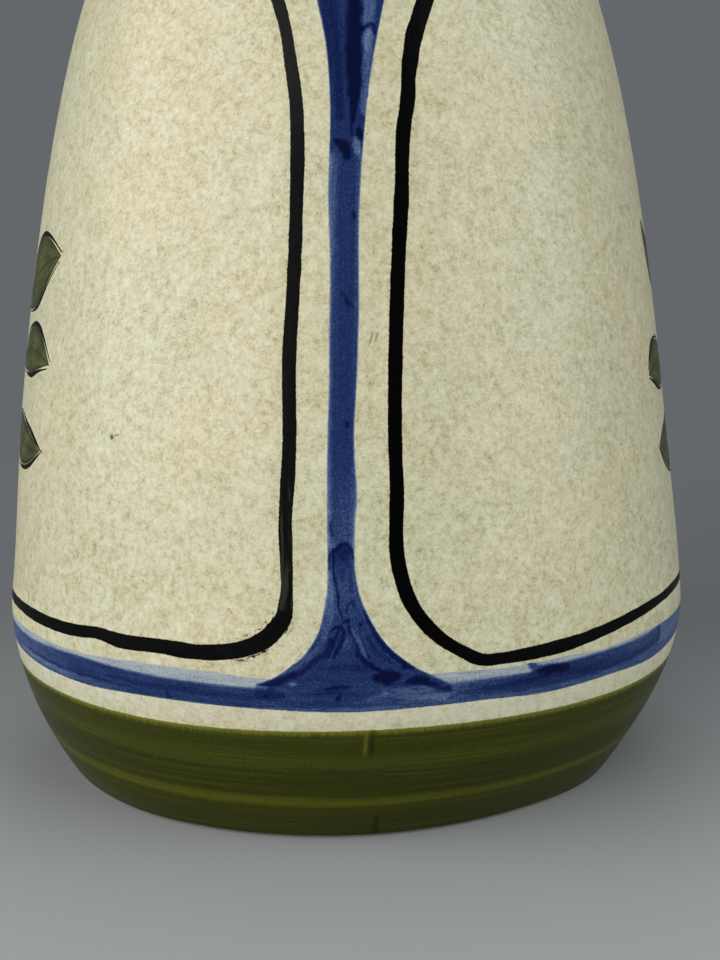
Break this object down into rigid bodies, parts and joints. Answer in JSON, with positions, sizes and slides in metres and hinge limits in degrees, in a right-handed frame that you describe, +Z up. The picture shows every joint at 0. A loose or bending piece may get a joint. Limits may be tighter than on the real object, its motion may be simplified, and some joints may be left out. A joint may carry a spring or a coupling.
{
  "type": "ceramic vase",
  "caption": "Slip-cast stoneware vase with a swelling body, narrow neck and flared lip, cream glazed and hand-painted with bands, arched panels and leaf sprays.",
  "frame": {"origin": "middle of the foot ring, on the surface that the vase stands on", "axes": "+Z up the vase's axis to the mouth, -Y towards the front column, +X to the right-hand panel"},
  "size_m": [0.181, 0.181, 0.2763],
  "materials": {
    "bare_clay": "matt fired stoneware",
    "cream_glaze": "satin oatmeal glaze with fine tan speckle",
    "green_colour": "glossy olive green, banded on the wheel",
    "leaf_colour": "glossy olive green brushwork",
    "blue_colour": "glossy cobalt blue brushwork",
    "black_colour": "glossy black brushwork",
    "ochre_colour": "glossy ochre brushwork"
  },
  "bodies": {
    "root": {"clay_body": "bare_clay", "cream_glaze_coat": "cream_glaze", "lining_glaze": "cream_glaze", "green_foot_band": "green_colour", "green_lip_band": "green_colour", "blue_foot_ring": "blue_colour", "blue_neck_ring": "blue_colour", "blue_column_front": "blue_colour", "blue_column_back": "blue_colour", "black_panel_line_left": "black_colour", "black_panel_line_right": "black_colour", "left_blossom_eye": "ochre_colour", "left_bud": "blue_colour", "left_upper_stem": "leaf_colour", "left_lower_stem": "leaf_colour", "left_petal_1": "blue_colour", "left_petal_2": "blue_colour", "left_petal_3": "blue_colour", "left_petal_4": "blue_colour", "left_petal_5": "blue_colour", "left_petal_6": "blue_colour", "left_leaf_1": "leaf_colour", "left_leaf_2": "leaf_colour", "left_leaf_3": "leaf_colour", "left_leaf_4": "leaf_colour", "left_leaf_5": "leaf_colour", "left_leaf_6": "leaf_colour", "left_leaf_7": "leaf_colour", "left_leaf_8": "leaf_colour", "right_blossom_eye": "ochre_colour", "right_bud": "blue_colour", "right_upper_stem": "leaf_colour", "right_lower_stem": "leaf_colour", "right_petal_1": "blue_colour", "right_petal_2": "blue_colour", "right_petal_3": "blue_colour", "right_petal_4": "blue_colour", "right_petal_5": "blue_colour", "right_petal_6": "blue_colour", "right_leaf_1": "leaf_colour", "right_leaf_2": "leaf_colour", "right_leaf_3": "leaf_colour", "right_leaf_4": "leaf_colour", "right_leaf_5": "leaf_colour", "right_leaf_6": "leaf_colour", "right_leaf_7": "leaf_colour", "right_leaf_8": "leaf_colour"}
  },
  "joints": []
}
